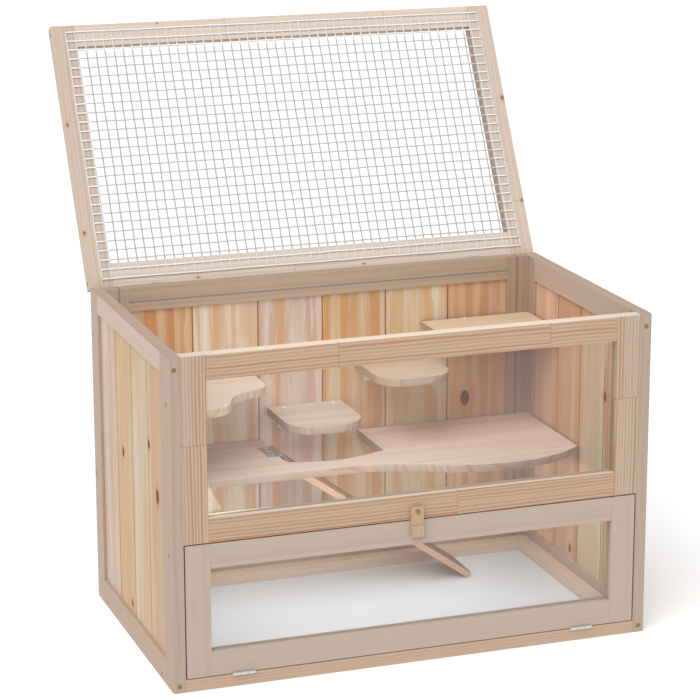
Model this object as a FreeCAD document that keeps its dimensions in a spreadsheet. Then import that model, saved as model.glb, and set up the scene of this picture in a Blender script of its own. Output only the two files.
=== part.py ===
import FreeCAD, Part
import os

# Hamster cage: timber case with boarded sides, acrylic front, drop-down door and hinged mesh lid.
# Frame: mm, X to the right, -Y is the front, +Z up, origin under the middle of the case.

os.makedirs("parts", exist_ok=True)
doc = FreeCAD.newDocument("hamster_cage")
d = doc.addObject("Spreadsheet::Sheet", "d")

SIZES = [
    # case
    ("case_w", 600), ("case_d", 351), ("case_h", 403), ("stock", 15), ("rail", 30),
    ("side_stile", 33), ("side_top", 25), ("side_lip", 5), ("side_bot", 31), ("edge_r", 2),
    ("board_t", 8), ("board_in", 3.5), ("board_w", 86.3), ("vee", 1.2), ("vee_deep", 1.5),
    # window and door
    ("win_z", 179.5), ("door_z", 16), ("door_h", 162), ("door_w", 566.8),
    ("pane_t", 2), ("pane_in", 5), ("pane_y", 6.5), ("base_h", 15),
    # floor
    ("floor_t", 3), ("batten", 15),
    # platform, ledges and shelf
    ("plat_z", 190), ("board10", 10), ("notch_x0", -85.5), ("notch_x1", 46.5),
    ("ledge_w", 100), ("ledge_d", 106), ("ledge_r", 36), ("mid_x", -75), ("mid_z", 231),
    ("right_x", 44), ("right_z", 282), ("left_z", 283), ("shelf_x", 134.5), ("shelf_z", 327), ("shelf_d", 100),
    ("cleat", 10), ("cleat_len", 93), ("brk_w", 12), ("brk_leg", 18), ("brk_t", 1.5), ("dome_r", 2.8), ("dome_h", 1.8),
    # ramp
    ("ramp_x", -83.2), ("ramp_z", 191.2), ("ramp_y", 67.5), ("ramp_w", 65), ("ramp_len", 303), ("ramp_t", 9),
    ("ramp_in", 7.5), ("ramp_low", 0.8), ("ramp_deg", 35.4), ("kerf_w", 1.5), ("kerf_deep", 1.2), ("kerf_step", 27),
    # latch
    ("latch_x", -0.3), ("latch_z", 190), ("latch_w", 15.5), ("latch_top", 5.7), ("latch_step", 17), ("latch_bot", 30.8),
    ("latch_t", 5), ("latch_grip", 6.8), ("latch_gap", 0.4), ("latch_hole", 2), ("latch_pin", 1.95),
    ("latch_head", 2.7), ("latch_head_t", 1.8),
    # lid
    ("lid_y", 177.5), ("lid_z", 403.5), ("lid_deg", 119.3), ("lid_off", 2.3), ("lid_lip", 0.5), ("lid_len", 349),
    ("lid_stile", 31.4), ("lid_back", 31), ("lid_front", 29.2),
    ("wire", 1.2), ("mesh_x", 12.02), ("mesh_y", 12.17), ("mesh_in", 10.3), ("mesh_shift", 0.5),
    # hinges
    ("knuckle_r", 1.8), ("leaf_t", 0.8), ("hinge_len", 28), ("knuckle", 9), ("play", 0.3), ("leaf_h", 14),
    ("lid_hinge_x", 215), ("door_hinge_x", 215), ("door_axis_y", -177.4), ("door_axis_z", 15.5),
    ("ramp_leaf", 14.5), ("ramp_hinge_y", 102.5), ("ramp_knuckle", 8), ("ramp_leaf_t", 1),
    # screws
    ("screw_r", 3), ("screw_hole", 3.1), ("screw_deep", 2), ("screw_t", 1.7),
]
for row, (alias, value) in enumerate(SIZES, start=1):
    d.set("A%d" % row, alias)
    d.set("B%d" % row, str(value))
    d.setAlias("B%d" % row, alias)
doc.recompute()

FRAMES = {
    "case": "",
    "lid": "placement(vector(0; d.lid_y; d.lid_z); rotation(vector(1; 0; 0); -d.lid_deg)) * ",
    "ramp": "placement(vector(d.ramp_x; 0; d.ramp_z); rotation(vector(0; 1; 0); d.ramp_deg)) * ",
}
TURNS = {
    "z": "rotation(vector(0; 0; 1); 0)",
    "x": "rotation(vector(0; 1; 0); 90)",
    "y": "rotation(vector(1; 0; 0); -90)",
    "-y": "rotation(vector(1; 0; 0); 90)",
    "-x": "rotation(vector(0; 1; 0); -90)",
}
nodes = []


def put(obj, at, frame, turn="z"):
    """Bind an object's placement to the sheet, inside the frame it moves with."""
    x, y, z = at
    obj.setExpression("Placement", "%splacement(vector(%s; %s; %s); %s)" % (FRAMES[frame], x, y, z, TURNS[turn]))


def box(size, at, frame="case"):
    obj = doc.addObject("Part::Box", "box")
    for prop, text in zip(("Length", "Width", "Height"), size):
        obj.setExpression(prop, text)
    put(obj, at, frame)
    return obj


def rod(radius, length, at, turn="z", frame="case"):
    obj = doc.addObject("Part::Cylinder", "rod")
    obj.setExpression("Radius", radius)
    obj.setExpression("Height", length)
    put(obj, at, frame, turn)
    return obj


def dome(at, turn="z"):
    obj = doc.addObject("Part::Cone", "dome")
    obj.setExpression("Radius1", "d.dome_r")
    obj.setExpression("Radius2", "d.dome_r * 0.55")
    obj.setExpression("Height", "d.dome_h")
    put(obj, at, "case", turn)
    return obj


def joined(items):
    obj = doc.addObject("Part::MultiFuse", "joined")
    obj.Shapes = items
    obj.Refine = True
    return obj


def less(body, tools):
    """Cut a list of tools from a body."""
    tool = tools[0]
    if len(tools) > 1:
        tool = doc.addObject("Part::Compound", "tools")
        tool.Links = tools
    obj = doc.addObject("Part::Cut", "less")
    obj.Base = body
    obj.Tool = tool
    return obj


def group(items):
    obj = doc.addObject("Part::Compound", "group")
    obj.Links = items
    return obj


def node(name, obj):
    obj.Label = name
    nodes.append(obj)
    return obj


def solid_from(points, z0, height):
    """Fixed outline made in code: runs of points, each a line (two points) or a smooth curve."""
    edges = []
    for run in points:
        places = [FreeCAD.Vector(x, y, z0) for x, y in run]
        if len(places) == 2:
            edges.append(Part.makeLine(places[0], places[1]))
            continue
        curve = Part.BSplineCurve()
        curve.interpolate(places)
        edges.append(curve.toShape())
    face = Part.Face(Part.Wire(Part.__sortEdges__(edges)))
    obj = doc.addObject("Part::Feature", "outline")
    obj.Shape = face.extrude(FreeCAD.Vector(0, 0, height))
    return obj


HALF_W = "d.case_w / 2"
HALF_D = "d.case_d / 2"
INNER_X = "(d.case_w / 2 - d.stock)"
INNER_Y = "(d.case_d / 2 - d.stock)"

# Screw recesses on the case: three pairs on each side face, one pair on each front edge.
SIDE_SCREWS = ((-165.5, 345.5), (-165.5, 165.5), (170.5, 345.5), (170.5, 165.5), (-124.5, 6), (128.5, 6))
EDGE_SCREWS = (8, 388)
screw_heads = []


def side_recess(sign, y, z):
    turn = "x" if sign < 0 else "-x"
    face = "%d * %s" % (sign, HALF_W)
    seat = "%d * (%s - d.screw_deep)" % (sign, HALF_W)
    screw_heads.append(rod("d.screw_r", "d.screw_t", (seat, y, z), "-x" if sign < 0 else "x"))
    return rod("d.screw_hole", "d.screw_deep", (face, y, z), turn)


def edge_recess(sign, z):
    x = "%d * (%s - d.stock / 2)" % (sign, HALF_W)
    seat = "-%s + d.screw_deep" % HALF_D
    screw_heads.append(rod("d.screw_r", "d.screw_t", (x, seat, z), "-y"))
    return rod("d.screw_hole", "d.screw_deep", (x, "-" + HALF_D, z), "y")


# Side panels
for side, sign in (("left", -1), ("right", 1)):
    x0 = "-" + HALF_W if sign < 0 else INNER_X
    corner_x = "%d * (%s - d.edge_r)" % (sign, HALF_W)
    skin_x = "-%s + d.edge_r" % HALF_W if sign < 0 else INNER_X
    holes = [side_recess(sign, y, z) for y, z in SIDE_SCREWS]
    front = joined([
        box(("d.stock", "d.side_stile - d.edge_r", "d.case_h"), (x0, "-%s + d.edge_r" % HALF_D, 0)),
        box(("d.stock - d.edge_r", "d.side_stile", "d.case_h"), (skin_x, "-" + HALF_D, 0)),
        rod("d.edge_r", "d.case_h", (corner_x, "-%s + d.edge_r" % HALF_D, 0)),
    ])
    node("side_%s_front_stile" % side, less(front, holes[0:2] + [edge_recess(sign, z) for z in EDGE_SCREWS]))
    rear = box(("d.stock", "d.side_stile", "d.case_h"), (x0, "%s - d.side_stile" % HALF_D, 0))
    node("side_%s_rear_stile" % side, less(rear, holes[2:4]))
    span = "d.case_d - 2 * d.side_stile"
    start = "-%s + d.side_stile" % HALF_D
    lip_x = "-%s - d.board_in" % INNER_X if sign < 0 else INNER_X
    node("side_%s_top_rail" % side, joined([
        box(("d.stock", span, "d.side_top"), (x0, start, "d.case_h - d.side_top")),
        box(("d.board_in", span, "d.side_lip"), (lip_x, start, "d.case_h - d.side_top - d.side_lip")),
    ]))
    low = box(("d.stock", span, "d.side_bot"), (x0, start, 0))
    node("side_%s_bottom_rail" % side, less(low, holes[4:6]))
    tall = "d.case_h - d.side_top - d.side_bot"
    skin = box(("d.board_t", span, tall), ("%s + d.board_in" % x0, start, "d.side_bot"))
    vees = []
    for count in (1, 2, 3):
        seam = "%s + %d * (%s) / 4 - d.vee / 2" % (start, count, span)
        for face in ("%s + d.board_in - d.vee_deep / 2" % x0, "%s + d.board_in + d.board_t - d.vee_deep / 2" % x0):
            vees.append(box(("d.vee_deep", "d.vee", tall), (face, seam, "d.side_bot")))
    node("side_%s_boards" % side, less(skin, vees))

# Back panel
back_y = INNER_Y
for side, x0 in (("left", "-" + INNER_X), ("right", "%s - d.rail" % INNER_X)):
    node("back_%s_stile" % side, box(("d.rail", "d.stock", "d.case_h"), (x0, back_y, 0)))
back_span = "(2 * %s - 2 * d.rail)" % INNER_X
back_x = "-%s + d.rail" % INNER_X
node("back_top_rail", box((back_span, "d.stock", "d.rail"), (back_x, back_y, "d.case_h - d.rail")))
node("back_bottom_rail", box((back_span, "d.stock", "d.rail"), (back_x, back_y, 0)))
back_tall = "d.case_h - 2 * d.rail"
back_skin = box((back_span, "d.board_t", back_tall), (back_x, "%s + d.board_in" % back_y, "d.rail"))
vees = []
for count in range(5):
    seam = "%s + (%s - 4 * d.board_w) / 2 + %d * d.board_w - d.vee / 2" % (back_x, back_span, count)
    for face in ("%s + d.board_in - d.vee_deep / 2" % back_y, "%s + d.board_in + d.board_t - d.vee_deep / 2" % back_y):
        vees.append(box(("d.vee", "d.vee_deep", back_tall), (seam, face, "d.rail")))
node("back_boards", less(back_skin, vees))

# Latch screw, running through the turn button into the window's lower rail
face_y = "-" + HALF_D
pin_reach = "8 + d.latch_gap + d.latch_t + 0.2"
pin_y = "%s + 8" % face_y
latch_pin = rod("d.latch_pin", pin_reach, ("d.latch_x", pin_y, "d.latch_z"), "-y")
latch_head = rod("d.latch_head", "d.latch_head_t",
                 ("d.latch_x", "%s - d.latch_gap - d.latch_t - 0.2" % face_y, "d.latch_z"), "-y")
node("latch_screw", joined([latch_pin, latch_head]))
latch_back = "%s - d.latch_gap" % face_y
button = joined([
    box(("d.latch_w", "d.latch_t", "d.latch_top + d.latch_step"),
        ("d.latch_x - d.latch_w / 2", "%s - d.latch_t" % latch_back, "d.latch_z - d.latch_step")),
    box(("d.latch_w", "d.latch_grip", "d.latch_bot - d.latch_step"),
        ("d.latch_x - d.latch_w / 2", "%s - d.latch_grip" % latch_back, "d.latch_z - d.latch_bot")),
])
bore = rod("d.latch_hole", "20", ("d.latch_x", "%s + 5" % face_y, "d.latch_z"), "-y")
node("latch", less(button, [bore]))


def framed(prefix, x0, width, z0, height, cuts):
    """Rail-and-stile frame on the front face with a pane let into a slot."""
    pane_size = ("%s - 2 * d.rail + 2 * d.pane_in" % width, "d.pane_t", "%s - 2 * d.rail + 2 * d.pane_in" % height)
    pane_at = ("%s + d.rail - d.pane_in" % x0, "%s + d.pane_y" % face_y, "%s + d.rail - d.pane_in" % z0)
    slot = box(pane_size, pane_at)
    far_x = "%s + %s - d.rail" % (x0, width)
    stile = ("d.rail", "d.stock", height)
    bar = ("%s - 2 * d.rail" % width, "d.stock", "d.rail")
    node(prefix + "_left_stile", less(box(stile, (x0, face_y, z0)), [slot]))
    node(prefix + "_right_stile", less(box(stile, (far_x, face_y, z0)), [slot]))
    top_z = "%s + %s - d.rail" % (z0, height)
    node(prefix + "_top_rail", less(box(bar, ("%s + d.rail" % x0, face_y, top_z)), [slot]))
    node(prefix + "_bottom_rail", less(box(bar, ("%s + d.rail" % x0, face_y, z0)), [slot] + cuts))
    node(prefix + "_pane", box(pane_size, pane_at))


pin_hole = rod("d.latch_pin", "12", ("d.latch_x", pin_y, "d.latch_z"), "-y")
framed("window", "-" + INNER_X, "(2 * %s)" % INNER_X, "d.win_z", "(d.case_h - d.win_z)", [pin_hole])

# Hinges: pairs of leaves with interleaved knuckles
hinge_x = {"lid": "d.lid_hinge_x", "door": "d.door_hinge_x"}
OUTER = (("0", "d.knuckle"), ("d.hinge_len - d.knuckle", "d.knuckle"))
INNER = (("d.knuckle + d.play", "d.hinge_len - 2 * d.knuckle - 2 * d.play"),)


def leaf_pair(centre, sleeves, leaf, tab, axis, frame):
    """Leaf plate, tabs and knuckles of one hinge half; sizes run along X from the hinge's left end."""
    left = "%s - d.hinge_len / 2" % centre
    items = [box(("d.hinge_len", leaf[0], leaf[1]), (left, leaf[2], leaf[3]), frame)]
    for start, width in sleeves:
        at = "%s + %s" % (left, start)
        items.append(box((width, tab[0], tab[1]), (at, tab[2], tab[3]), frame))
        items.append(rod("d.knuckle_r", width, (at, axis[0], axis[1]), "x", frame))
    return joined(items)


door_cuts = []
base_cuts = []
door_fixed = []
door_moving = []
for sign in (-1, 1):
    centre = "%d * d.door_hinge_x" % sign
    left = "%s - d.hinge_len / 2" % centre
    axis = ("d.door_axis_y", "d.door_axis_z")
    low_z = "d.base_h - d.leaf_t"
    base_cuts.append(box(("d.hinge_len", "d.leaf_h", "d.leaf_t + 1"), (left, face_y, low_z)))
    door_cuts.append(box(("d.hinge_len", "d.leaf_h", "d.leaf_t + 1"), (left, face_y, "d.door_z - 1")))
    door_fixed.append(leaf_pair(centre, OUTER, ("d.leaf_h", "d.leaf_t", face_y, low_z),
                                ("2", "d.leaf_t", "d.door_axis_y", low_z), axis, "case"))
    door_moving.append(leaf_pair(centre, INNER, ("d.leaf_h", "d.leaf_t", face_y, "d.door_z"),
                                 ("2", "d.leaf_t", "d.door_axis_y", "d.door_z"), axis, "case"))
node("door_hinge_fixed", group(door_fixed))
node("door_hinge_moving", group(door_moving))
framed("door", "-d.door_w / 2", "d.door_w", "d.door_z", "d.door_h", door_cuts)
base = box(("2 * %s" % INNER_X, "d.stock", "d.base_h"), ("-" + INNER_X, face_y, 0))
node("base_rail", less(base, base_cuts))

# Floor
node("floor_sheet", box(("2 * %s" % INNER_X, "2 * %s" % INNER_Y, "d.floor_t"), ("-" + INNER_X, "-" + INNER_Y, 0)))
node("floor_side_battens", group([
    box(("d.batten", "2 * %s - 2 * d.batten" % INNER_Y, "d.batten"), (x0, "-%s + d.batten" % INNER_Y, "d.floor_t"))
    for x0 in ("-" + INNER_X, "%s - d.batten" % INNER_X)
]))
node("floor_cross_battens", group([
    box(("2 * %s" % INNER_X, "d.batten", "d.batten"), ("-" + INNER_X, y0, "d.floor_t"))
    for y0 in ("-" + INNER_Y, "%s - d.batten" % INNER_Y)
]))

# Platform: wavy front edge and a notch at the rear that the ramp hangs through
inner_x = float(d.case_w) / 2 - float(d.stock)
inner_y = float(d.case_d) / 2 - float(d.stock)
n0 = float(d.notch_x0)
n1 = float(d.notch_x1)
thick = float(d.board10)
wave = [(-30, 14), (0, 12.5), (46, 1), (103, -24), (164.5, -37.5), (219.5, -35), (260, -20), (inner_x, -3)]
notch_edge = [(n0 + 7, 54.5), (-57, 48.5), (-40, 45), (-15, 44.5), (21, 54), (n1, 63)]
node("platform", solid_from([
    [(-inner_x, inner_y), (-inner_x, 16.5)], [(-inner_x, 16.5), (-30, 14)], wave,
    [(inner_x, -3), (inner_x, inner_y)], [(inner_x, inner_y), (n1, inner_y)], [(n1, inner_y), (n1, 63)],
    notch_edge, [(n0 + 7, 54.5), (n0 + 2, 57.5), (n0, 63)], [(n0, 63), (n0, inner_y)],
    [(n0, inner_y), (-inner_x, inner_y)],
], float(d.plat_z) - thick, thick))
node("platform_cleats", group([
    box(("d.cleat", "d.cleat_len", "d.cleat"), (x0, "%s - d.cleat_len" % INNER_Y, "d.plat_z - d.board10 - d.cleat"))
    for x0 in ("-" + INNER_X, "%s - d.cleat" % INNER_X)
]))

# Ledges and shelf
wall_y = "(%s + d.board_in)" % INNER_Y
for name, x0, top in (("ledge_middle", "d.mid_x", "d.mid_z"), ("ledge_right", "d.right_x", "d.right_z")):
    z0 = "%s - d.board10" % top
    y_front = "%s - d.ledge_d" % wall_y
    node(name, joined([
        box(("d.ledge_w", "d.ledge_d - d.ledge_r", "d.board10"), (x0, "%s + d.ledge_r" % y_front, z0)),
        box(("d.ledge_w - 2 * d.ledge_r", "d.ledge_d", "d.board10"), ("%s + d.ledge_r" % x0, y_front, z0)),
        rod("d.ledge_r", "d.board10", ("%s + d.ledge_r" % x0, "%s + d.ledge_r" % y_front, z0)),
        rod("d.ledge_r", "d.board10", ("%s + d.ledge_w - d.ledge_r" % x0, "%s + d.ledge_r" % y_front, z0)),
    ]))
swoop = [(-205, 5), (-190, 5), (-181, 8), (-173, 14), (-166, 25), (-156.5, 47), (-146.5, 58), (-128, 67.5),
         (-110, 75.5), (-102, 86.5), (-100, 98)]
node("ledge_left", solid_from([
    [(-inner_x, inner_y), (-inner_x, 5)], [(-inner_x, 5), (-205, 5)], swoop,
    [(-100, 98), (-100, inner_y)], [(-100, inner_y), (-inner_x, inner_y)],
], float(d.left_z) - thick, thick))
node("shelf_upper", box(("%s - d.shelf_x" % INNER_X, "d.shelf_d", "d.board10"),
                        ("d.shelf_x", "%s - d.shelf_d" % INNER_Y, "d.shelf_z - d.board10")))

# Angle brackets under the boards, and dome screws where they show on top
BRACKETS = ((-240, "d.plat_z", 0), (-130, "d.plat_z", 0), (100, "d.plat_z", 0), (230, "d.plat_z", 0),
            (-55, "d.mid_z", 1), (12, "d.mid_z", 1), (62, "d.right_z", 1), (126, "d.right_z", 1),
            (-240, "d.left_z", 0), (-130, "d.left_z", 0), (193, "d.shelf_z", 1))
brackets = []
domes = []
for x, top, shows in BRACKETS:
    under = "%s - d.board10" % top
    brackets.append(joined([
        box(("d.brk_w", "d.brk_t", "d.brk_leg"), ("%s - d.brk_w / 2" % x, "%s - d.brk_t" % wall_y, "%s - d.brk_leg" % under)),
        box(("d.brk_w", "d.brk_leg", "d.brk_t"), ("%s - d.brk_w / 2" % x, "%s - d.brk_leg" % wall_y, "%s - d.brk_t" % under)),
    ]))
    if shows:
        domes.append(dome((x, "%s - d.brk_leg + 9" % wall_y, top)))
node("shelf_brackets", group(brackets))
node("shelf_screws", group(domes))

# Ramp, hung from the platform on a butt hinge
ramp_top = "-d.ramp_low"
board = box(("d.ramp_len", "d.ramp_w", "d.ramp_t"), ("d.ramp_in", "d.ramp_y", "%s - d.ramp_t" % ramp_top), "ramp")
kerfs = [
    box(("d.kerf_w", "d.ramp_w", "d.kerf_deep * 2"),
        ("d.ramp_in + 13 + %d * d.kerf_step" % (count + 1), "d.ramp_y", "%s - d.kerf_deep" % ramp_top), "ramp")
    for count in range(10)
]
node("ramp", less(board, kerfs))
fixed = [box(("d.ramp_leaf", "5 * d.ramp_knuckle", "d.ramp_leaf_t"),
             ("d.notch_x0 - d.ramp_leaf", "d.ramp_hinge_y - 20", "d.plat_z"))]
moving = [box(("d.ramp_leaf", "5 * d.ramp_knuckle", "d.ramp_leaf_t"),
              ("2.3", "d.ramp_hinge_y - 20", ramp_top), "ramp")]
for count in range(5):
    start = "d.ramp_hinge_y - 20 + %d * d.ramp_knuckle" % count
    if count % 2 == 0:
        fixed.append(box(("2.3", "d.ramp_knuckle", "d.ramp_leaf_t"), ("d.notch_x0", start, "d.plat_z")))
        fixed.append(rod("d.knuckle_r", "d.ramp_knuckle", ("d.ramp_x", start, "d.ramp_z"), "y"))
    else:
        gap = "%s + d.play / 2" % start
        width = "d.ramp_knuckle - d.play"
        moving.append(box(("2.3", width, "d.ramp_leaf_t"), ("0", gap, ramp_top), "ramp"))
        moving.append(rod("d.knuckle_r", width, ("0", gap, "0"), "y", "ramp"))
node("ramp_hinge_fixed", joined(fixed))
node("ramp_hinge_moving", joined(moving))
node("ramp_hinge_screws", group([
    rod("1.7", "0.5", ("d.notch_x0 - 6.5", "d.ramp_hinge_y + %d" % step, "d.plat_z + d.ramp_leaf_t"))
    for step in (-13, 0, 13)
]))

# Lid, standing open; local Y runs from the hinge to the lid's front edge as negative values
lid_z = "d.lid_off"
lid_end = "d.lid_lip - d.lid_len"
lid_screw_heads = []
for side, sign in (("left", -1), ("right", 1)):
    x0 = "-" + HALF_W if sign < 0 else "%s - d.lid_stile" % HALF_W
    stile = box(("d.lid_stile", "d.lid_len", "d.stock"), (x0, lid_end, lid_z), "lid")
    holes = []
    for at_y in ("-7.5", "-338.5"):
        mid_z = "d.lid_off + d.stock / 2"
        holes.append(rod("d.screw_hole", "d.screw_deep", ("%d * %s" % (sign, HALF_W), at_y, mid_z),
                         "x" if sign < 0 else "-x", "lid"))
        lid_screw_heads.append(rod("d.screw_r", "d.screw_t", ("%d * (%s - d.screw_deep)" % (sign, HALF_W), at_y, mid_z),
                                   "-x" if sign < 0 else "x", "lid"))
    node("lid_%s_stile" % side, less(stile, holes))
cross_w = "d.case_w - 2 * d.lid_stile"
cross_x = "-%s + d.lid_stile" % HALF_W
node("lid_front_rail", box((cross_w, "d.lid_front", "d.stock"), (cross_x, lid_end, lid_z), "lid"))
node("lid_rear_rail", box((cross_w, "d.lid_back", "d.stock"), (cross_x, "d.lid_lip - d.lid_back", lid_z), "lid"))
node("lid_screws", group(lid_screw_heads))
wires = []
for count in range(48):
    wires.append(rod("d.wire / 2", "27 * d.mesh_y", ("(%d - 23.5) * d.mesh_x + d.mesh_shift" % count, "-d.mesh_in - 27 * d.mesh_y",
                                                    "d.lid_off - d.wire / 2"), "y", "lid"))
for count in range(28):
    wires.append(rod("d.wire / 2", "47 * d.mesh_x", ("-23.5 * d.mesh_x + d.mesh_shift", "-d.mesh_in - %d * d.mesh_y" % count,
                                                    "d.lid_off - d.wire * 1.5"), "x", "lid"))
node("lid_mesh", group(wires))
lid_fixed = []
lid_moving = []
rear_face = HALF_D
for sign in (-1, 1):
    centre = "%d * d.lid_hinge_x" % sign
    lid_fixed.append(leaf_pair(centre, OUTER, ("d.leaf_t", "d.leaf_h", rear_face, "d.case_h - d.leaf_h - 1.5"),
                               ("d.leaf_t", "2", rear_face, "d.case_h - 1.5"), ("d.lid_y", "d.lid_z"), "case"))
    lid_moving.append(leaf_pair(centre, INNER, ("d.leaf_t", "d.leaf_h", "d.lid_lip", "d.lid_off"),
                                ("d.leaf_t", "d.lid_off", "d.lid_lip", "0"), ("0", "0"), "lid"))
node("lid_hinge_fixed", group(lid_fixed))
node("lid_hinge_moving", group(lid_moving))
node("case_screws", group(screw_heads))

doc.recompute()
for obj in doc.Objects:
    if "Invalid" in obj.State or "Error" in obj.State:
        raise RuntimeError("%s did not recompute" % obj.Name)
for obj in nodes:
    if obj.Shape.isNull() or not obj.Shape.isValid():
        raise RuntimeError("%s is not a valid shape" % obj.Label)
    obj.Shape.exportStep("parts/%s.step" % obj.Label)
print("%d nodes" % len(nodes))
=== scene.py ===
import math

import bmesh
import bpy
from mathutils import Matrix, Vector


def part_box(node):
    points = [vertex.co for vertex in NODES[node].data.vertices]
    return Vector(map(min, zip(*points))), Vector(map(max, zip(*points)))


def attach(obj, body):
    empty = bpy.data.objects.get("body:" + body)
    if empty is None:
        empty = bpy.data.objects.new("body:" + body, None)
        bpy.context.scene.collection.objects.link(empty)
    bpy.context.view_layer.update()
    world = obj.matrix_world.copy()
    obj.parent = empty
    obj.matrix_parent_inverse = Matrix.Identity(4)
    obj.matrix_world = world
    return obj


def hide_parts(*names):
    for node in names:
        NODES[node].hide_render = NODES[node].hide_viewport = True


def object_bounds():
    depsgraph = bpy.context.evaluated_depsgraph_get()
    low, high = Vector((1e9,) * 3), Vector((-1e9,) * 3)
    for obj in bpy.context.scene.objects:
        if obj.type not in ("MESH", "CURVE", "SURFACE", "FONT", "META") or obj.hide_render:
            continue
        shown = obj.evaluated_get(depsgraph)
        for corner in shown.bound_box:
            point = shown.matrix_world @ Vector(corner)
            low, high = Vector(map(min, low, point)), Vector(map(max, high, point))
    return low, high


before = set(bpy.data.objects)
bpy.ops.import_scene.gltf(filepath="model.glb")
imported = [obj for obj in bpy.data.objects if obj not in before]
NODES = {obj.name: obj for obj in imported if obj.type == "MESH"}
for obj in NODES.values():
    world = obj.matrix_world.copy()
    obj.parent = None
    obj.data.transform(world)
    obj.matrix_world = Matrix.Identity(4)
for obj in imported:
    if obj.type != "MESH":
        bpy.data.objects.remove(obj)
cad_low, cad_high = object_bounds()
scene = bpy.context.scene
LID_OPEN = math.radians(119.3)    # the lid is built open by this much
RAMP_SLOPE = math.radians(35.4)   # and the ramp is built sloping
MM = 1000.0
NEW_LENGTH = (457.0, 7.3) # how far the grain jumps past a glued joint, along and across
NEW_BOARD = 313.0         # how far it jumps along from one board to the next
KNOT_STRETCH = 0.62       # a knot is longer along the grain than across it
GRAIN_WAVE = 0.004        # how fast the rings drift along the board, per mm
SAND_SOFT = 0.0004        # rounded edges of sanded timber
SHEET_METAL_SOFT = 0.0002
WELD = 0.00001            # corners closer than this are one
SCREW_HEAD = 0.0018       # the height of a head; a taller screw also shows its shank
TALL_SCREW = 0.004
GROOVE = 0.005            # the depth of the grooves that hold the clear sheets


# ---------------------------------------------------------------- colour and node helpers

def srgb(r, g, b):
    """A display colour, 0 to 255 a channel, as the linear colour that shaders take."""
    out = []
    for value in (r, g, b):
        value /= 255
        out.append(value / 12.92 if value <= 0.04045 else ((value + 0.055) / 1.055) ** 2.4)
    return (*out, 1.0)


class Tree:
    """Builds one material's nodes with short calls. An input may be a socket or a plain value."""

    def __init__(self, name):
        self.mat = bpy.data.materials.new(name)
        self.mat.use_nodes = True
        self.nodes = self.mat.node_tree.nodes
        self.links = self.mat.node_tree.links
        self.nodes.clear()
        self.out = self.nodes.new("ShaderNodeOutputMaterial")
        place = self.nodes.new("ShaderNodeTexCoord")
        self.coord, self.normal = place.outputs["Object"], place.outputs["Normal"]

    def give(self, socket, value):
        if isinstance(value, bpy.types.NodeSocket):
            self.links.new(value, socket)
        else:
            socket.default_value = value

    def math(self, op, *values, clamp=False):
        node = self.nodes.new("ShaderNodeMath")
        node.operation = op
        node.use_clamp = clamp
        for socket, value in zip(node.inputs, values):
            self.give(socket, value)
        return node.outputs[0]

    def dot(self, vector, axis):
        node = self.nodes.new("ShaderNodeVectorMath")
        node.operation = "DOT_PRODUCT"
        self.give(node.inputs[0], vector)
        node.inputs[1].default_value = axis
        return node.outputs["Value"]

    def combine(self, x, y, z):
        node = self.nodes.new("ShaderNodeCombineXYZ")
        for socket, value in zip(node.inputs, (x, y, z)):
            self.give(socket, value)
        return node.outputs[0]

    def noise(self, vector, scale=1.0, detail=2.0, rough=0.5):
        node = self.nodes.new("ShaderNodeTexNoise")
        self.give(node.inputs["Vector"], vector)
        node.inputs["Scale"].default_value = scale
        node.inputs["Detail"].default_value = detail
        node.inputs["Roughness"].default_value = rough
        return node.outputs["Fac"]

    def random(self, value):
        node = self.nodes.new("ShaderNodeTexWhiteNoise")
        node.noise_dimensions = "1D"
        self.give(node.inputs["W"], value)
        return node.outputs["Value"]

    def ramp(self, fac, stops, mode="LINEAR"):
        node = self.nodes.new("ShaderNodeValToRGB")
        node.color_ramp.interpolation = mode
        self.give(node.inputs[0], fac)
        spots = node.color_ramp.elements
        while len(spots) < len(stops):
            spots.new(0.5)
        for spot, (at, colour) in zip(spots, stops):
            spot.position = at
            spot.color = colour if hasattr(colour, "__len__") else (colour, colour, colour, 1)
        return node.outputs["Color"]

    def mix(self, fac, a, b, blend="MIX"):
        node = self.nodes.new("ShaderNodeMix")
        node.data_type = "RGBA"
        node.blend_type = blend
        self.give(node.inputs[0], fac)
        self.give(node.inputs[6], a)
        self.give(node.inputs[7], b)
        return node.outputs[2]

    def span(self, value, low, high, to_low=0.0, to_high=1.0):
        node = self.nodes.new("ShaderNodeMapRange")
        node.interpolation_type = "SMOOTHSTEP"
        for socket, given in zip(node.inputs, (value, low, high, to_low, to_high)):
            self.give(socket, given)
        return node.outputs[0]

    def bump(self, height, strength, distance):
        node = self.nodes.new("ShaderNodeBump")
        node.inputs["Strength"].default_value = strength
        node.inputs["Distance"].default_value = distance
        self.give(node.inputs["Height"], height)
        return node.outputs[0]

    def principled(self, **values):
        node = self.nodes.new("ShaderNodeBsdfPrincipled")
        for key, value in values.items():
            self.give(node.inputs[key.replace("_", " ")], value)
        self.links.new(node.outputs[0], self.out.inputs[0])
        return node


# ---------------------------------------------------------------- wood

X, Y, Z = Vector((1, 0, 0)), Vector((0, 1, 0)), Vector((0, 0, 1))


def turned(body):
    """The row-frame directions of a body's own X, Y and Z where it was built turned about its hinge."""
    if body == "lid":
        turn = Matrix.Rotation(-LID_OPEN, 3, "X")
    elif body == "ramp":
        turn = Matrix.Rotation(RAMP_SLOPE, 3, "Y")
    else:
        turn = Matrix.Identity(3)
    return [turn @ axis for axis in (X, Y, Z)]


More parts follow.
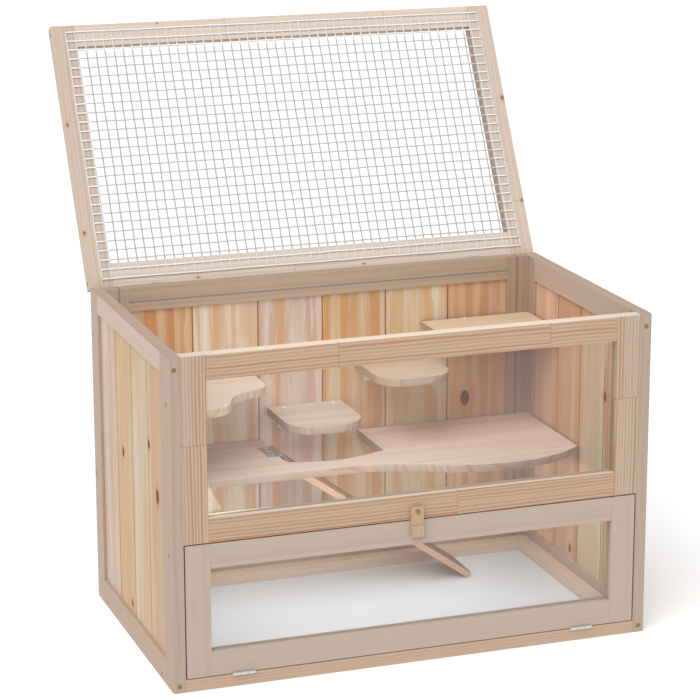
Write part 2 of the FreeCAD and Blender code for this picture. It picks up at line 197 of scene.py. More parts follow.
def wood(name, light, dark, along, face, centre=None, ring=4.0, pith=(40.0, 60.0), seed=1.0, contrast=0.8,
         wobble=3.0, sharp=0.82, streak=0.10, warm=None, warm_amount=0.35, boards=None, knots=(),
         heart_tones=((52, 30, 22), (122, 68, 44)), joints=(), lines=(), crest=None, shaded=None, edge=None,
         tread=None):
    """Growth rings about a pith beside the board, with fibres along the grain.

    Lengths are in mm.
    along: the grain's direction. face: the normal of the broad face. centre: the middle of the section.
    ring: the rings' spacing. pith: from the centre, across the face and into it. wobble: how far the rings
    wander. sharp: where in a ring the dark late wood starts. contrast: strength of the rings. streak: of the
    fibres. seed: moves the pattern along the grain.
    warm: a colour of broad warmer bands, of strength warm_amount.
    boards: (direction, first seam, pitch, (light, dark) of each board), where one node is several boards.
    knots: (point, radius) in the row frame, with a heart of the two heart_tones.
    joints: places along the grain where two lengths are glued end to end.
    lines: (direction, place, colour) of a thin gap between two glued strips.
    crest: the height above which the wood is painted pale, a painted highlight along the top faces.
    shaded: (direction, distance from the centre, amount) of faces darkened toward a deep brown: painted shade
    on the lid's inner faces, and a darker top face on the side top rails.
    edge: the tint that darkens the faces turned away from the broad faces, a painted shade on a board's sides.
    tread: the distance into the face from its middle above which the wood is painted dark, a painted shadow.
    """
    t = Tree(name)
    side = along.cross(face).normalized()
    base = centre if centre is not None else Vector((0, 0, 0))
    shift = seed * 101.0
    u = t.math("MULTIPLY_ADD", t.dot(t.coord, side), MM, -base.dot(side))
    v = t.math("MULTIPLY_ADD", t.dot(t.coord, face), MM, -base.dot(face))
    w = t.math("MULTIPLY_ADD", t.dot(t.coord, along), MM, -base.dot(along) + shift)
    pith_u, pith_v = pith
    u_pith = t.math("SUBTRACT", u, pith_u)
    dark_lines = []
    along_row = t.math("MULTIPLY", t.dot(t.coord, along), MM)
    for place in joints:
        beyond = t.math("GREATER_THAN", along_row, place)
        w = t.math("MULTIPLY_ADD", beyond, NEW_LENGTH[0], w)
        u_pith = t.math("MULTIPLY_ADD", beyond, NEW_LENGTH[1], u_pith)
        gap = t.math("ABSOLUTE", t.math("SUBTRACT", along_row, place))
        dark_lines.append((t.span(gap, 0.2, 0.7, 0.45, 0.0), srgb(128, 96, 74)))
    for direction, place, ink in lines:
        across = t.math("MULTIPLY_ADD", t.dot(t.coord, direction), MM, -place)
        dark_lines.append((t.span(t.math("ABSOLUTE", across), 0.8, 1.5, 0.8, 0.0), ink))
    if boards:
        direction, first, pitch, tones = boards
        run = t.math("MULTIPLY_ADD", t.dot(t.coord, direction), MM / pitch, -first / pitch)
        index = t.math("FLOOR", run)
        chance = t.random(t.math("ADD", index, seed + 0.37))
        w = t.math("MULTIPLY_ADD", index, NEW_BOARD, w)
        centre_u = t.math("MULTIPLY_ADD", t.math("SUBTRACT", run, index), pitch, -pitch / 2)
        if direction.dot(side) < 0:
            centre_u = t.math("MULTIPLY", centre_u, -1.0)
        u_pith = t.math("SUBTRACT", centre_u, t.span(chance, 0.0, 1.0, -pith_u, pith_u))
        count = len(tones)
        place = t.math("MULTIPLY_ADD", index, 1.0 / count, 0.5 / count)
        light = t.ramp(place, [(i / count, tone[0]) for i, tone in enumerate(tones)], "CONSTANT")
        dark = t.ramp(place, [(i / count, tone[1]) for i, tone in enumerate(tones)], "CONSTANT")
        seam = t.math("MULTIPLY", t.math("ABSOLUTE", t.math("SUBTRACT", run, t.math("ROUND", run))), pitch)
        dark_lines.append((t.span(seam, 0.4, 1.3, 0.8, 0.0), srgb(132, 78, 50)))
    # knots push the rings aside
    core = None
    halo = None
    for point, radius in knots:
        at = Vector(point)
        a = t.math("MULTIPLY_ADD", t.dot(t.coord, side), MM / radius, -at.dot(side) / radius)
        b = t.math("MULTIPLY_ADD", t.dot(t.coord, along), KNOT_STRETCH * MM / radius,
                   -KNOT_STRETCH * at.dot(along) / radius)
        far = t.math("SQRT", t.math("ADD", t.math("MULTIPLY", a, a), t.math("MULTIPLY", b, b)))
        near = t.span(far, 0.8, 1.15, 1.0, 0.0)
        around = t.span(far, 0.6, 4.2, 1.0, 0.0)
        push = t.math("MULTIPLY", t.math("MULTIPLY", a, around), -radius * 0.8)
        u_pith = t.math("ADD", u_pith, push)
        core = near if core is None else t.math("MAXIMUM", core, near)
        halo = around if halo is None else t.math("MAXIMUM", halo, around)
    # the rings, which drift slowly along the board and differ in strength
    slow = t.combine(t.math("MULTIPLY", u_pith, 0.006), t.math("MULTIPLY", v, 0.006),
                     t.math("MULTIPLY", w, GRAIN_WAVE))
    drift = t.math("MULTIPLY_ADD", t.noise(slow, 1.0, 2.0), 4.0 * wobble, -2.0 * wobble)
    du = t.math("ADD", u_pith, drift)
    dv = t.math("SUBTRACT", v, pith_v)
    radius_from_pith = t.math("SQRT", t.math("ADD", t.math("MULTIPLY", du, du), t.math("MULTIPLY", dv, dv)))
    jitter = t.combine(t.math("MULTIPLY", u, 0.12), t.math("MULTIPLY", v, 0.12), t.math("MULTIPLY", w, 0.008))
    phase = t.math("ADD", t.math("DIVIDE", radius_from_pith, ring),
                   t.math("MULTIPLY_ADD", t.noise(jitter, 1.0, 3.0), 0.9, seed * 3.1))
    spot = t.math("FRACT", phase)
    ring_id = t.math("FLOOR", phase)
    strength = t.math("MULTIPLY_ADD", t.random(t.math("ADD", ring_id, seed)), 0.75, 0.35)
    late = t.ramp(spot, [(0.0, 0.05), (0.3, 0.0), (sharp - 0.2, 0.45), (sharp, 1.0), (0.95, 0.85),
                         (1.0, 0.05)], "EASE")
    amount = t.math("MULTIPLY", t.math("MULTIPLY", late, strength), contrast, clamp=True)
    colour = t.mix(amount, light, dark)
    if warm is not None:
        broad = t.combine(t.math("MULTIPLY", u_pith, 0.07), t.math("MULTIPLY", v, 0.05),
                          t.math("MULTIPLY", w, 0.0025))
        band = t.span(t.noise(broad, 1.0, 2.0), 0.46, 0.66)
        colour = t.mix(t.math("MULTIPLY", band, warm_amount), colour, warm)
    # fibres, coarse and fine
    fibre_at = t.combine(t.math("MULTIPLY", u, 0.55), t.math("MULTIPLY", v, 0.55), t.math("MULTIPLY", w, 0.012))
    fibre = t.noise(fibre_at, 1.0, 4.0, 0.6)
    fine_at = t.combine(t.math("MULTIPLY", u, 3.2), t.math("MULTIPLY", v, 3.2), t.math("MULTIPLY", w, 0.09))
    fine = t.noise(fine_at, 1.0, 3.0, 0.65)
    shade = t.math("ADD", t.math("MULTIPLY_ADD", fibre, streak * 2.2, 1.0 - streak * 1.1),
                   t.math("MULTIPLY_ADD", fine, streak * 1.2, -streak * 0.6))
    colour = t.mix(1.0, colour, t.combine(shade, shade, shade), "MULTIPLY")
    if core is not None:
        orange = t.mix(t.math("MULTIPLY", t.math("POWER", halo, 3.0), 0.6), colour, srgb(196, 120, 76))
        grain_in = t.noise(t.combine(t.math("MULTIPLY", u, 0.9), v, t.math("MULTIPLY", w, 0.5)), 1.0, 2.0)
        heart = t.mix(grain_in, srgb(*heart_tones[0]), srgb(*heart_tones[1]))
        colour = t.mix(core, orange, heart)
    # Painted highlight: the wood above the given height is lightened toward a pale cream, where light falls on
    # the top faces.
    if crest is not None:
        above = t.math("MULTIPLY_ADD", t.dot(t.coord, Z), MM, -crest)
        colour = t.mix(t.span(above, 0.0, 0.5, 0.0, 0.75), colour, srgb(228, 214, 196))
    # Painted shade: faces turned the given way, beyond the given distance from the centre, are darkened toward
    # a deep brown.
    if shaded is not None:
        direction, start, dark_amount = shaded
        beyond = t.math("MULTIPLY_ADD", t.dot(t.coord, direction), MM, -base.dot(direction) - start)
        faces_it = t.span(t.dot(t.normal, direction), 0.5, 0.8)
        mask = t.math("MULTIPLY", t.span(beyond, 0.0, 0.3, 0.0, dark_amount), faces_it)
        colour = t.mix(mask, colour, srgb(146, 106, 80))
    # Painted shade: faces turned away from the broad faces are darkened by the given tint.
    if edge is not None:
        facing = t.math("ABSOLUTE", t.dot(t.normal, face))
        colour = t.mix(t.span(facing, 0.3, 0.8, 1.0, 0.0), colour, srgb(*edge), "MULTIPLY")
    # Painted shadow: the wood beyond the given distance into the face is darkened toward a dark brown.
    if tread is not None:
        colour = t.mix(t.span(v, tread, tread + 0.8, 0.0, 0.85), colour, srgb(124, 86, 72))
    for mask, ink in dark_lines:
        colour = t.mix(mask, colour, ink)
    rough = t.math("MULTIPLY_ADD", fibre, 0.16, 0.56)
    height = t.math("ADD", t.math("MULTIPLY", amount, 0.35), t.math("MULTIPLY", fine, 0.65))
    t.principled(Base_Color=colour, Roughness=rough, Normal=t.bump(height, 0.18, 0.0004),
                 Specular_IOR_Level=0.3)
    return t.mat


def dress(node, material, bevel=SAND_SOFT):
    """Put a material on a CAD node, and round its sharp edges by bevel metres, or not at all for 0."""
    obj = NODES[node]
    obj.data.materials.clear()
    obj.data.materials.append(material)
    for poly in obj.data.polygons:
        poly.material_index = 0
    if bevel:
        weld = obj.modifiers.new("weld", "WELD")
        weld.merge_threshold = WELD
        soft = obj.modifiers.new("bevel", "BEVEL")
        soft.width = bevel
        soft.segments = 2
        soft.limit_method = "ANGLE"
        soft.angle_limit = math.radians(40)
        soft.harden_normals = True
    return obj


def middle(node):
    """The centre of a node's box, in mm."""
    low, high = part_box(node)
    return (low + high) / 2 * MM


lid_x, lid_y, lid_z = turned("lid")
ramp_x, _, ramp_z = turned("ramp")


def member(node, along, face, light, dark, **more):
    """One piece of timber. light and dark are display colours."""
    dress(node, wood("wood_" + node, srgb(*light), srgb(*dark), along, face, centre=middle(node), **more))


SIDE_TONES = (("front_stile", Z, (176, 156, 139), (165, 138, 120)),
              ("rear_stile", Z, (178, 158, 141), (167, 140, 121)),
              ("top_rail", Y, (194, 174, 158), (181, 154, 135)),
              ("bottom_rail", Y, (180, 159, 141), (168, 141, 121)))
for turn, side in enumerate(("left", "right")):
    for step, (part, grain, light, dark) in enumerate(SIDE_TONES):
        # The side top rails get their top faces darkened toward a deep brown by the same mask.
        top = (Z, 0.0, 0.32) if part == "top_rail" else None
        member("side_%s_%s" % (side, part), grain, X, light, dark, ring=3.6, shaded=top,
               pith=(60 + 9 * step, 30), contrast=0.6, streak=0.06, seed=3.4 * turn + 1.7 * step + 2,
               wobble=2.0)

STRIPE = dict(ring=3.9, contrast=1.0, streak=0.06, wobble=1.6, sharp=0.58)
WIN_LIGHT, WIN_DARK = (186, 167, 148), (170, 131, 104)
RAIL_LIGHT, RAIL_DARK = (185, 162, 139), (172, 127, 95)
# The last column gives the height above which each member's top gets a painted highlight.
for part, grain, light, dark, pith, seed, joints, crest in (
        ("left_stile", Z, WIN_LIGHT, WIN_DARK, (70, 14), 3.1, (297,), 402.4),
        ("right_stile", Z, WIN_LIGHT, WIN_DARK, (-64, 16), 5.3, (301,), 402.4),
        ("top_rail", X, RAIL_LIGHT, RAIL_DARK, (58, 20), 7.9, (-96, 168), 402.2),
        ("bottom_rail", X, RAIL_LIGHT, RAIL_DARK, (-60, 18), 9.2, (52,), 208.8)):
    member("window_" + part, grain, Y, light, dark, pith=pith, seed=seed, joints=joints, crest=crest, **STRIPE)

FRAME = (("left_stile", Z), ("right_stile", Z), ("top_rail", X), ("bottom_rail", X))
for step, (part, grain) in enumerate(FRAME):
    member("door_" + part, grain, Y, (181, 165, 151), (174, 153, 137), ring=6.0, pith=(8, 26), seed=11.3 + step,
           contrast=0.6, wobble=5.0, streak=0.05)
member("base_rail", X, Y, (188, 163, 140), (178, 136, 112), ring=3.4, pith=(50, 16), seed=17.1, contrast=0.9,
       wobble=1.5)

GREY_LINE = srgb(120, 116, 116)
BACK_LINES = {"left_stile": (X, -267), "right_stile": (X, 268), "top_rail": (Z, 385)}
BACK_FRAME = {"right_stile": ((172, 148, 128), (152, 127, 107))}
for step, (part, grain) in enumerate(FRAME):
    gap = [(*BACK_LINES[part], GREY_LINE)] if part in BACK_LINES else []
    light, dark = BACK_FRAME.get(part, ((174, 152, 131), (155, 130, 109)))
    member("back_" + part, grain, Y, light, dark, ring=7.0, pith=(24, 18), seed=21.7 + step,
           contrast=0.6, lines=gap)

LID_KNOTS = {"left_stile": (((-297, 285, 590), 1.3), ((-296, 215, 465), 1.6)),
             "right_stile": (((297, 285, 591), 2.0), ((297, 215, 465), 1.4)),
             "front_rail": (((-160, 349, 704), 0.9),),
             "rear_rail": (((-159, 181, 405), 1.1), ((63, 181, 405), 1.1))}
LID_HEARTS = ((128, 76, 50), (170, 112, 76))
# Painted shade on the inner faces of the lid's right stile and front rail.
LID_SHADED = {"right_stile": (-X, 15.4, 0.55), "front_rail": (lid_y, 14.3, 0.55)}
LID_TONES = {"left_stile": ((195, 178, 161), (181, 154, 134)),
             "right_stile": ((201, 184, 167), (187, 160, 139)),
             "front_rail": ((212, 196, 180), (197, 171, 150)),
             "rear_rail": ((210, 194, 179), (195, 170, 150))}
LID_JOINTS = {"right_stile": (-511,), "front_rail": (-70, 150), "rear_rail": (-30,)}
for step, (part, grain) in enumerate((("left_stile", lid_y), ("right_stile", lid_y), ("front_rail", lid_x),
                                      ("rear_rail", lid_x))):
    light, dark = LID_TONES[part]
    member("lid_" + part, grain, lid_z, light, dark, ring=4.4, pith=(36, 26), seed=31.9 + step,
           contrast=0.6, streak=0.06, knots=LID_KNOTS[part], heart_tones=LID_HEARTS,
           joints=LID_JOINTS.get(part, ()), shaded=LID_SHADED.get(part))

RING_DEEPER = (12, 34, 44)   # how much darker a shelf's rings are than its light wood
# The shelves' sides are darkened by a painted shade, given by the edge tint.
for step, (node, light) in enumerate((("platform", (219, 203, 190)), ("ledge_middle", (204, 193, 180)),
                                      ("ledge_right", (206, 190, 171)), ("ledge_left", (222, 209, 193)),
                                      ("shelf_upper", (214, 197, 173)))):
    dark = [tone - less for tone, less in zip(light, RING_DEEPER)]
    member(node, X, Z, light, dark, ring=3.6, pith=(160, 12), seed=41.3 + step, contrast=0.9, streak=0.08,
           edge=(212, 208, 200), warm=srgb(206, 160, 118), warm_amount=0.3)
# The ramp's top face gets a painted shadow, as if shaded by the platform.
member("ramp", ramp_x, ramp_z, (206, 172, 142), (184, 142, 112), ring=3.0, seed=51.7, contrast=0.8, tread=3.1)
member("latch", Z, Y, (190, 161, 134), (172, 130, 102), ring=2.6, pith=(34, 10), seed=53.1, contrast=0.8,
       wobble=1.0)
for step, (node, grain) in enumerate((("floor_side_battens", Y), ("floor_cross_battens", X),
                                      ("platform_cleats", Y))):
    member(node, grain, Z, (212, 186, 164), (190, 156, 132), ring=4.0, seed=57.3 + step, contrast=0.5)


def board_tones(*pairs):
    """The light wood and the dark rings of each board in a skin."""
    return [(srgb(*light), srgb(*dark)) for light, dark in pairs]


LEFT_TONES = board_tones(
    ((193, 172, 144), (177, 125, 87)), ((196, 182, 159), (183, 151, 114)),
    ((196, 176, 142), (184, 134, 82)), ((197, 183, 169), (181, 147, 123)))
RIGHT_TONES = board_tones(
    ((206, 184, 150), (194, 140, 92)), ((208, 192, 166), (192, 156, 122)),
    ((204, 172, 146), (184, 134, 102)), ((220, 194, 171), (202, 158, 129)))
BACK_TONES = board_tones(
    ((199, 170, 134), (183, 125, 82)), ((210, 202, 186), (196, 166, 138)), ((199, 188, 176), (186, 153, 132)),
    ((197, 178, 151), (187, 137, 90)), ((207, 198, 176), (197, 162, 120)), ((205, 174, 145), (186, 143, 114)))
BOARD = dict(ring=6.0, pith=(34, 26), contrast=0.85, warm=srgb(200, 144, 88), warm_amount=0.45, sharp=0.7)
side_low, side_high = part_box("side_left_boards")
side_first, side_pitch = side_low.y * MM, (side_high.y - side_low.y) * MM / len(LEFT_TONES)
back_pitch = 86.3         # the spacing of the back's vee joints, which are even about the middle
LEFT_KNOTS = (((-300, 45, 229), 4.2), ((-300, -76, 273), 3.6), ((-300, -109, 219), 6.0),
              ((-300, 17, 44), 3.4))
RIGHT_KNOTS = (((285, -74, 273), 4.2), ((285, 21, 44), 3.4))
dress("side_left_boards", wood("wood_left_boards", None, None, Z, X, seed=61.1, knots=LEFT_KNOTS,
                               boards=(Y, side_first, side_pitch, LEFT_TONES), **BOARD), bevel=0)
dress("side_right_boards", wood("wood_right_boards", None, None, Z, X, seed=63.7, knots=RIGHT_KNOTS,
                                boards=(Y, side_first, side_pitch, RIGHT_TONES), **BOARD), bevel=0)
back_first = -len(BACK_TONES) / 2 * back_pitch
dress("back_boards", wood("wood_back_boards", None, None, Z, Y, seed=71.3, knots=(((198, 165, 217), 6.5),),
                          boards=(X, back_first, back_pitch, BACK_TONES), **BOARD), bevel=0)


# ---------------------------------------------------------------- other materials

def plain(name, colour, vary, rough, rough_vary, scale, **more):
    """A near-even surface, mottled a little in gloss, height and colour, down to vary times the colour."""
    t = Tree(name)
    patch = t.noise(t.coord, scale, 3.0)
    other = tuple(c * vary for c in colour[:3]) + (1.0,)
    t.principled(Base_Color=t.mix(patch, colour, other), Normal=t.bump(patch, 0.08, 0.0002),
                 Roughness=t.math("MULTIPLY_ADD", patch, rough_vary, rough), **more)
    return t.mat


def acrylic():
    """Clear sheet with a thin uneven haze and a weak reflection."""
    t = Tree("acrylic")
    clear = t.nodes.new("ShaderNodeBsdfTransparent")
    haze = t.nodes.new("ShaderNodeBsdfDiffuse")
    gloss = t.nodes.new("ShaderNodeBsdfGlossy")
    smear = t.noise(t.coord, 9.0, 2.0)
    clear.inputs[0].default_value = (0.985, 0.985, 0.985, 1)
    haze.inputs[0].default_value = srgb(238, 230, 228)
    gloss.inputs["Roughness"].default_value = 0.05
    film = t.nodes.new("ShaderNodeMixShader")
    t.give(film.inputs[0], t.math("MULTIPLY_ADD", smear, 0.03, 0.03))
    t.links.new(clear.outputs[0], film.inputs[1])
    t.links.new(haze.outputs[0], film.inputs[2])
    rim = t.nodes.new("ShaderNodeFresnel")
    rim.inputs["IOR"].default_value = 1.18
    both = t.nodes.new("ShaderNodeMixShader")
    t.give(both.inputs[0], rim.outputs[0])
    t.links.new(film.outputs[0], both.inputs[1])
    t.links.new(gloss.outputs[0], both.inputs[2])
    t.links.new(both.outputs[0], t.out.inputs[0])
    return t.mat


STEEL = plain("zinc_steel", srgb(226, 226, 222), 0.82, 0.34, 0.15, 900.0, Metallic=0.55)


def wire(name, over_wood, over_gap):
    """Galvanised wire with painted light: painted bright where it lies on the frame and duller where it spans
    the opening.
    """
    t = Tree(name)
    rail_low, rail_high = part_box("lid_front_rail")
    _, back_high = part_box("lid_rear_rail")
    side = t.math("ABSOLUTE", t.dot(t.coord, X))
    up = t.dot(t.coord, Z)
    between = t.math("MULTIPLY", t.math("GREATER_THAN", up, back_high.z), t.math("LESS_THAN", up, rail_low.z))
    inside = t.math("MULTIPLY", t.math("LESS_THAN", side, rail_high.x), between)
    patch = t.noise(t.coord, 700.0, 3.0)
    colour = t.mix(inside, srgb(*over_wood), srgb(*over_gap))
    colour = t.mix(t.math("MULTIPLY", patch, 0.12), colour, srgb(150, 152, 156))
    t.principled(Base_Color=colour, Roughness=t.math("MULTIPLY_ADD", patch, 0.12, 0.36), Metallic=0.15,
                 Normal=t.bump(patch, 0.08, 0.0002))
    return t.mat


# Painted light: the wires across are painted brighter than the wires down, as lit and shaded copies of one
# wire, and both are painted lighter over the frame than over the opening.
WIRE_ACROSS = wire("wire_across", (250, 249, 247), (202, 201, 199))
WIRE_DOWN = wire("wire_down", (216, 220, 226), (176, 178, 180))
BRASS = plain("brass_screw", srgb(176, 156, 104), 0.6, 0.32, 0.15, 900.0, Metallic=0.85)
SHEET = plain("white_board", srgb(213, 218, 223), 0.98, 0.42, 0.06, 60.0)
CLEAR = acrylic()
BARREL = plain("worn_hinge", srgb(178, 170, 162), 0.72, 0.34, 0.2, 500.0, Metallic=0.35)
BRIGHT = plain("bright_screw", srgb(248, 248, 246), 0.7, 0.25, 0.15, 700.0, Metallic=0.3)
dress("floor_sheet", SHEET, bevel=0)
for node in ("shelf_brackets", "door_hinge_fixed", "door_hinge_moving", "lid_hinge_fixed", "lid_hinge_moving"):
    dress(node, STEEL, bevel=SHEET_METAL_SOFT)
for node in ("ramp_hinge_fixed", "ramp_hinge_moving"):
    dress(node, BARREL, bevel=SHEET_METAL_SOFT)


# ---------------------------------------------------------------- pieces that stand for CAD nodes

def islands(node):
    """The corners of each separate solid of a CAD node, in the row frame."""
    work = bmesh.new()
    work.from_mesh(NODES[node].data)
    work.transform(NODES[node].matrix_world)
    bmesh.ops.remove_doubles(work, verts=work.verts, dist=WELD)
    left = set(work.verts)
    found = []
    for seed in list(work.verts):
        if seed not in left:
            continue
        left.discard(seed)
        group, queue = [], [seed]
        while queue:
            vert = queue.pop()
            group.append(vert.co.copy())
            for edge in vert.link_edges:
                other = edge.other_vert(vert)
                if other in left:
                    left.discard(other)
                    queue.append(other)
        found.append(group)
    work.free()
    return found


def extent(points, axis):
    """How far points reach along an axis, from least to most."""
    values = [point.dot(axis) for point in points]
    return min(values), max(values)


def piece(name, work, materials, body, slot, *nodes, smooth=True):
    """Make an object of a bmesh, for these CAD nodes, on their body."""
    mesh = bpy.data.meshes.new(name)
    bmesh.ops.recalc_face_normals(work, faces=work.faces)
    work.to_mesh(mesh)
    work.free()
    for poly in mesh.polygons:
        poly.use_smooth = smooth
    for material in materials:
        mesh.materials.append(material)
    obj = bpy.data.objects.new(name, mesh)
    scene.collection.objects.link(obj)
    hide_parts(*nodes)
    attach(obj, body)
    return obj


def head(work, centre, out, radius, height, crown, cross, spin, shank=0.0):
    """A screw head on its seat: turned disc with a rounded rim and a cross recess, and a shank behind it."""
    side = out.orthogonal().normalized()
    over = out.cross(side)
    side, over = side * math.cos(spin) + over * math.sin(spin), over * math.cos(spin) - side * math.sin(spin)
    rings, spokes = 14, 56

    def level(x, y):
        far = math.hypot(x, y) / radius
        top = height - crown * far ** 2.4
        arm = min(abs(x), abs(y)) / radius
        reach = max(abs(x), abs(y)) / radius
        recess = min(1.0, max(0.0, (0.19 - arm) / 0.06)) * min(1.0, max(0.0, (0.62 - reach) / 0.08))
        return top - cross * recess

    hub = work.verts.new(centre + out * level(0, 0))
    loops = []
    for ring in range(1, rings + 1):
        r = radius * ring / rings
        loop = []
        for spoke in range(spokes):
            a = 2 * math.pi * spoke / spokes
            x, y = r * math.cos(a), r * math.sin(a)
            loop.append(work.verts.new(centre + side * x + over * y + out * level(x, y)))
        loops.append(loop)
    outline = [(radius, 0.0), (radius * 0.6, -0.0002), (radius * 0.6, -shank)] if shank else [(radius, 0.0)]
    for r, z in outline:
        loop = []
        for spoke in range(spokes):
            a = 2 * math.pi * spoke / spokes
            loop.append(work.verts.new(centre + (side * math.cos(a) + over * math.sin(a)) * r + out * z))
        loops.append(loop)
    for spoke in range(spokes):
        work.faces.new((hub, loops[0][spoke - 1], loops[0][spoke]))
    for inner, outer in zip(loops, loops[1:]):
        for spoke in range(spokes):
            work.faces.new((inner[spoke - 1], inner[spoke], outer[spoke], outer[spoke - 1]))
    work.faces.new(list(reversed(loops[-1])))


def heads(name, node, body, slot, material, direction, crown, cross):
    """Screw heads where a node has its plain discs. direction gives the way out at a disc's middle.

    crown: how far the rim is below the middle. cross: the depth of the recess.
    """
    work = bmesh.new()
    for number, points in enumerate(islands(node)):
        centre = sum(points, Vector()) / len(points)
        out = direction(centre)
        low_out, high_out = extent(points, out)
        around = out.orthogonal().normalized()
        low_around, high_around = extent(points, around)
        thick = high_out - low_out
        radius = (high_around - low_around) / 2
        shank = 0.0
        if thick > TALL_SCREW:
            shank, thick = thick - SCREW_HEAD, SCREW_HEAD
        seat = centre + out * (high_out - thick - centre.dot(out))
        head(work, seat, out, radius, thick, crown, cross, 0.7 * number + 0.2, shank)
    return piece(name, work, [material], body, slot, node)


def outwards(centre):
    """Out of the left or right side, whichever is nearer."""
    return X * math.copysign(1, centre.x)


def case_way(centre):
    """Out of the nearer side, or out of the front for screws that are not at a side."""
    if abs(centre.x) > cad_high.x - 0.004:
        return outwards(centre)
    return -Y


heads("case_screw_heads", "case_screws", "case", "brass_screw", BRASS, case_way, 0.0003, 0.0009)
heads("lid_screw_heads", "lid_screws", "lid", "brass_screw", BRASS, outwards, 0.0003, 0.0009)
heads("latch_screw_head", "latch_screw", "case", "brass_screw", BRASS, lambda centre: -Y, 0.0007, 0.0008)
heads("dome_screws", "shelf_screws", "case", "zinc_steel", BRIGHT, lambda centre: Z, 0.0014, 0.0007)
heads("ramp_leaf_screws", "ramp_hinge_screws", "case", "zinc_steel", BRIGHT, lambda centre: Z, 0.0003, 0.0003)


def wires():
    """Welded mesh: each wire a round tube that wanders a little, as drawn wire does.

    The wires are thicker than the CAD's. Their outer side stays where the CAD has it, clear of the case
    when the lid is closed, and the rest sinks into the lid's timber.
    """
    work = bmesh.new()
    radius = 0.00095
    stride = 0.004
    sides = 8
    timber = middle("lid_front_rail").dot(lid_z) / MM
    counted = 0
    for number, points in enumerate(islands("lid_mesh")):
        spans = [extent(points, axis) for axis in (lid_x, lid_y, lid_z)]
        lengths = [b - a for a, b in spans]
        run = 0 if lengths[0] > lengths[1] else 1
        axis, over = ((lid_x, lid_y), (lid_y, lid_x))[run]
        start = spans[run][0]
        length = lengths[run]
        flat = sum(spans[1 - run]) / 2
        depth = sum(spans[2]) / 2
        depth += math.copysign(radius - (spans[2][1] - spans[2][0]) / 2, timber - depth)
        steps = int(length / stride)
        loops = []
        for step in range(steps + 1):
            at = length * step / steps
            fade = min(1.0, 60 * min(at, length - at))
            long_sway = 0.00022 * math.sin(at * 41 + number * 2.4)
            short_sway = 0.00012 * math.sin(at * 163 + number * 5.1)
            sway = fade * (long_sway + short_sway)
            lift = fade * 0.00010 * math.sin(at * 97 + number * 1.3)
            centre = axis * (start + at) + over * (flat + sway) + lid_z * (depth + lift)
            loops.append([work.verts.new(centre + (over * math.cos(a) + lid_z * math.sin(a)) * radius)
                          for a in (2 * math.pi * k / sides for k in range(sides))])
        for first, second in zip(loops, loops[1:]):
            for k in range(sides):
                work.faces.new((first[k - 1], first[k], second[k], second[k - 1]))
        work.faces.new(loops[0])
        work.faces.new(loops[-1])
        for poly in list(work.faces)[counted:]:
            poly.material_index = run
        counted = len(work.faces)
    return piece("welded_wires", work, [WIRE_ACROSS, WIRE_DOWN], "lid", "mesh_wire", "lid_mesh")


wires()


def sheet_of(name, node, body, groove):
    """A clear sheet with sawn, frosted edges. It is let a little into the timber, not as deep as its groove."""
    low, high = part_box(node)
    let_in = 0.0003
    hidden = groove - let_in
    work = bmesh.new()
    bmesh.ops.create_cube(work, size=1.0)
    size = high - low - Vector((2 * hidden, 0, 2 * hidden))
    for vert in work.verts:
        vert.co = (low + high) / 2 + Vector((vert.co.x * size.x, vert.co.y * size.y, vert.co.z * size.z))
    work.normal_update()
    for poly in work.faces:
        poly.material_index = 0 if abs(poly.normal.y) > 0.5 else 1
    return piece(name, work, [CLEAR, SAWN], body, "acrylic", node, smooth=False)


SAWN = plain("sawn_edge", srgb(206, 186, 166), 0.95, 0.5, 0.1, 300.0)
sheet_of("window_sheet", "window_pane", "case", GROOVE)
sheet_of("door_sheet", "door_pane", "door", GROOVE)


# ---------------------------------------------------------------- stage, light and camera

def stage_floor():
    """A pale floor just under the cage, which reaches near the horizon of a low view."""
    mesh = bpy.data.meshes.new("stage_floor")
    half = 120.0
    corners = [(-half, -half, 0), (half, -half, 0), (half, half, 0), (-half, half, 0)]
    mesh.from_pydata(corners, [], [(0, 1, 2, 3)])
    obj = bpy.data.objects.new("stage_floor", mesh)
    obj.location.z = -0.0005
    scene.collection.objects.link(obj)
    t = Tree("stage_floor")
    tone = t.mix(t.noise(t.coord, 0.3), srgb(250, 250, 250), srgb(246, 246, 246))
    t.principled(Base_Color=tone, Roughness=0.9, Emission_Color=(1, 1, 1, 1), Emission_Strength=0.15)
    mesh.materials.append(t.mat)


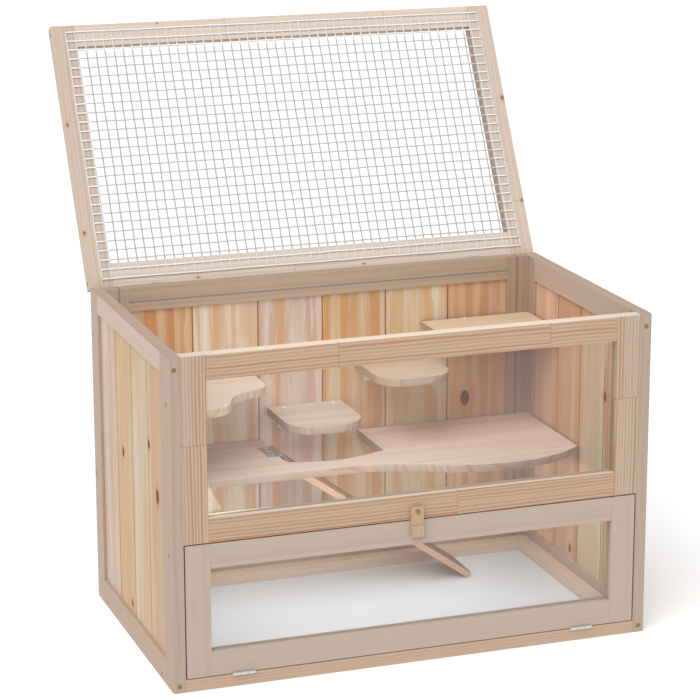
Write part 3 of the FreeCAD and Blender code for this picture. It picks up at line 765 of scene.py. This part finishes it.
stage_floor()
world = bpy.data.worlds.new("studio")
scene.world = world
world.use_nodes = True
sky = world.node_tree.nodes["Background"]
sky.inputs["Color"].default_value = (0.97, 0.985, 1.0, 1)
sky.inputs["Strength"].default_value = 0.6


def lamp(name, kind, at, aim, power, size, depth=None, colour=(1, 1, 1)):
    """A lamp that only lights. size is in degrees for a sun, and size and depth in metres for an area."""
    light = bpy.data.lights.new(name, kind)
    light.energy = power
    light.color = colour
    if kind == "AREA":
        light.shape = "RECTANGLE"
        light.size, light.size_y = size, depth
    else:
        light.angle = math.radians(size)
    obj = bpy.data.objects.new(name, light)
    obj.location = at
    obj.rotation_euler = (Vector(aim) - Vector(at)).to_track_quat("-Z", "Y").to_euler()
    obj.visible_camera = False
    obj.visible_glossy = False
    scene.collection.objects.link(obj)


lamp("sun", "SUN", (-1.5, -1.5, 3.0), (0, 0, 0.2), 2.1, size=50)
# soft fills for the rooms that the platform, the ledges and the lid shade
lamp("fill_low", "AREA", (0.0, 0.01, 0.172), (0.0, 0.01, 0), 0.54, size=0.54, depth=0.26,
     colour=(0.88, 0.96, 1.0))
lamp("fill_front", "AREA", (-0.1, -0.155, 0.25), (-0.12, 0.1, 0.24), 0.33, size=0.34, depth=0.07)
lamp("fill_top", "AREA", (0.0, -0.10, 0.46), (0.0, 0.02, 0.1), 0.09, size=0.5, depth=0.25)

CAMERA_AT = (-1.0514, -2.9033, 1.1666)
azimuth, elevation, roll = math.radians(-19.549), math.radians(14.966), math.radians(-0.092)
camera = bpy.data.cameras.new("camera")
camera.sensor_width = 36
camera.lens = 134.42
camera.clip_end = 50
eye = bpy.data.objects.new("camera", camera)
flat = math.cos(elevation)
back = Vector((math.sin(azimuth) * flat, -math.cos(azimuth) * flat, math.sin(elevation)))
right = Z.cross(back).normalized()
up = back.cross(right)
level = Matrix((right, up, back)).transposed()
eye.matrix_world = Matrix.Translation(CAMERA_AT) @ (level @ Matrix.Rotation(roll, 3, "Z")).to_4x4()
scene.collection.objects.link(eye)
scene.camera = eye
scene.view_settings.view_transform = "Standard"
